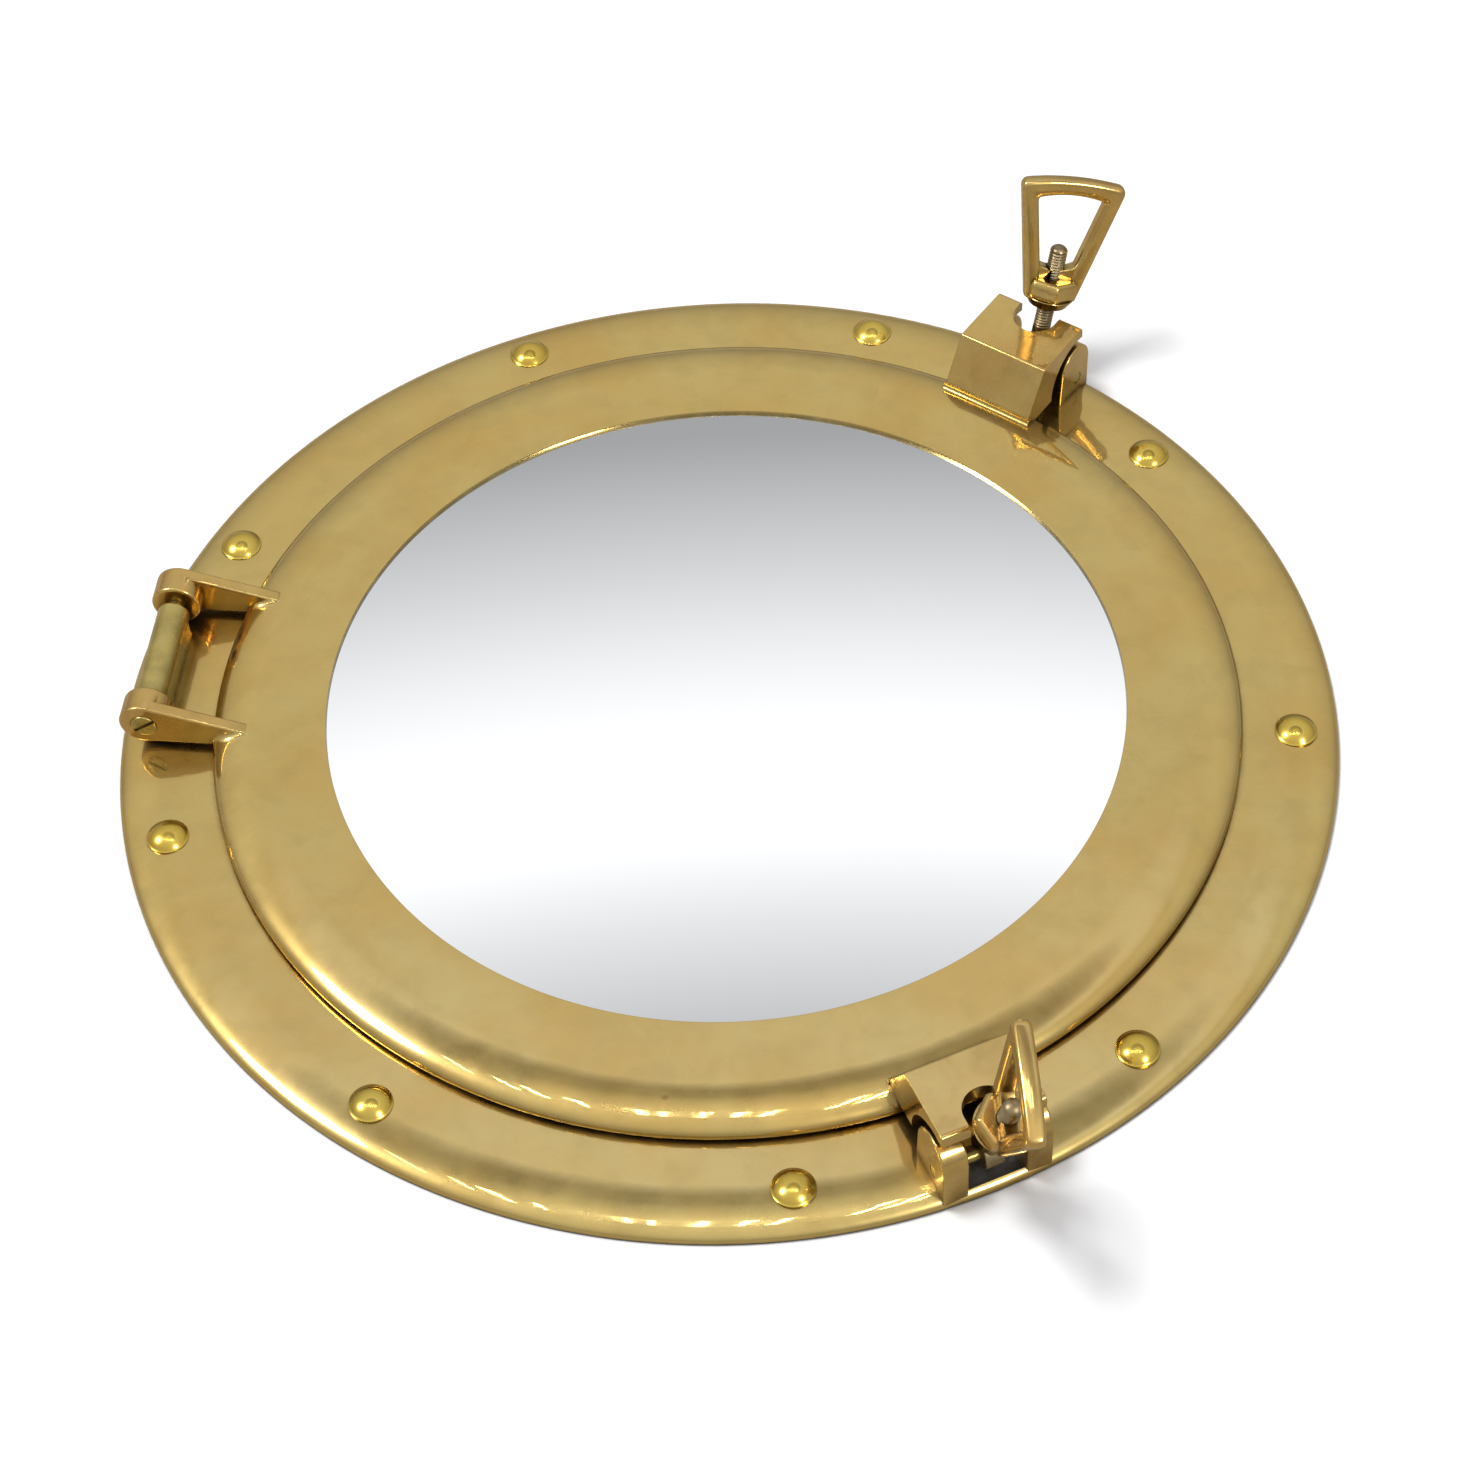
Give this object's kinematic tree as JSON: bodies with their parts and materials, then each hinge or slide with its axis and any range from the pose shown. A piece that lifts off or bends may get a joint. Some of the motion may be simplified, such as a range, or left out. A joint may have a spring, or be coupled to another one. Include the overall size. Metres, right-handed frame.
{
  "type": "opening porthole mirror",
  "caption": "Round brass porthole with a hinged ring holding a mirror, closed, its two swing bolts with loop nuts swung just clear of the lugs; the hinge side faces -X.",
  "frame": {"origin": "on the flange's flat back, straight behind the middle of the hinge; the flange's centre is at (0.1434, -0.003, 0)", "axes": "+Z out of the wall towards the viewer, +X away from the hinge, +Y along the hinge axis"},
  "size_m": [0.3048, 0.3071, 0.0616],
  "materials": {
    "polished_brass": "polished, slightly hazy",
    "rivet_brass": "polished",
    "dull_brass": "dull",
    "bolt_metal": "dull, grey-brown",
    "mirror": "silvered glass",
    "rubber": "matt black",
    "felt_pad": "felt"
  },
  "bodies": {
    "frame": {"frame": "polished_brass", "flange_rivet_1": "rivet_brass", "flange_rivet_2": "rivet_brass", "flange_rivet_3": "rivet_brass", "flange_rivet_4": "rivet_brass", "flange_rivet_5": "rivet_brass", "flange_rivet_6": "rivet_brass", "flange_rivet_7": "rivet_brass", "flange_rivet_8": "rivet_brass", "flange_rivet_9": "rivet_brass", "dog_pivot_pin_a": "dull_brass", "dog_pivot_pin_b": "dull_brass"},
    "door": {"door_ring": "polished_brass", "hinge_pin": "dull_brass", "mirror_glass": "mirror", "glazing_seal": "rubber", "backing_pad": "felt_pad", "glass_retainer": "dull_brass", "retainer_screw_1": "dull_brass", "retainer_screw_2": "dull_brass", "retainer_screw_3": "dull_brass", "retainer_screw_4": "dull_brass", "retainer_screw_5": "dull_brass", "retainer_screw_6": "dull_brass", "door_gasket": "rubber", "door_lug_a": "polished_brass", "door_lug_b": "polished_brass"},
    "dog_a": {"dog_bolt_a": "bolt_metal"},
    "nut_a": {"dog_loop_nut_a": "polished_brass"},
    "dog_b": {"dog_bolt_b": "bolt_metal"},
    "nut_b": {"dog_loop_nut_b": "polished_brass"}
  },
  "joints": [
    {"name": "door_hinge", "type": "hinge", "parent": "frame", "child": "door", "pos_m": [0, 0, 0.012], "axis": [0, -1, 0], "range_deg": [0, 170]},
    {"name": "dog_a_swing", "type": "hinge", "parent": "frame", "child": "dog_a", "pos_m": [0.21517, 0.12437, 0.008], "axis": [-0.8712, 0.4909, 0], "range_deg": [-19, 61]},
    {"name": "nut_a_spin", "type": "hinge", "parent": "dog_a", "child": "nut_a", "pos_m": [0.21793, 0.12928, 0.02436], "axis": [0.1598, 0.2836, 0.9455], "continuous": true},
    {"name": "dog_b_swing", "type": "hinge", "parent": "frame", "child": "dog_b", "pos_m": [0.21517, -0.13037, 0.008], "axis": [0.8712, 0.4909, 0], "range_deg": [-19, 61]},
    {"name": "nut_b_spin", "type": "hinge", "parent": "dog_b", "child": "nut_b", "pos_m": [0.21793, -0.13528, 0.02436], "axis": [0.1598, -0.2836, 0.9455], "continuous": true}
  ]
}
